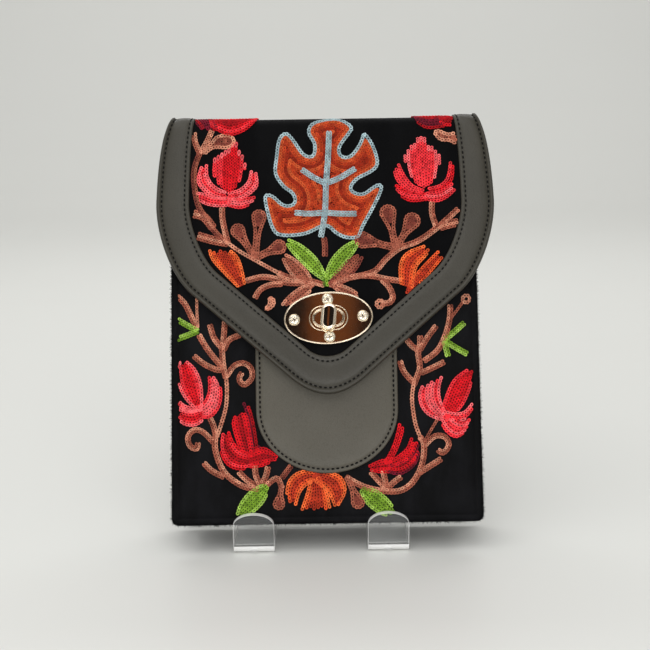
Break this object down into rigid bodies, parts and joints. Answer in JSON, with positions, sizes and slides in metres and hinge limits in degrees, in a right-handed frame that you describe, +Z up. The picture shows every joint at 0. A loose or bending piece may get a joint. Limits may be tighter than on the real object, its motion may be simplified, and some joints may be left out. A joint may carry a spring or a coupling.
{
  "type": "phone bag on display stand",
  "caption": "Flat embroidered velvet phone bag with a leather-bound pointed flap and an oval turn lock, leaning on a clear acrylic display stand.",
  "frame": {"origin": "middle of the whole in X and Y, on the surface the stand rests on", "axes": "+Z up, the bag's front and its lock face -Y and lean back by 17 degrees, +X to the viewer's right"},
  "size_m": [0.1776, 0.1146, 0.2166],
  "materials": {
    "velvet": "black velvet with coloured chain-stitch embroidery",
    "leather": "warm grey, softly shiny, stitched in black",
    "metal": "polished pale gold",
    "acrylic": "clear, polished"
  },
  "bodies": {
    "bag": {"front_panel": "velvet", "back_panel": "velvet", "gusset": "velvet", "flap": "velvet", "flap_trim": "leather", "front_patch": "leather", "lock_plate": "metal", "lock_foot": "metal", "lock_screw_left": "metal", "lock_screw_right": "metal", "lock_screw_top": "metal", "lock_screw_bottom": "metal", "stand_base": "acrylic", "stand_back": "acrylic"},
    "knob": {"turn_knob": "metal"}
  },
  "joints": [
    {"name": "knob_turn", "type": "hinge", "parent": "bag", "child": "knob", "pos_m": [0.0008, -0.02498, 0.11635], "axis": [0, -0.934, 0.3573], "range_deg": [-82, 8]}
  ]
}
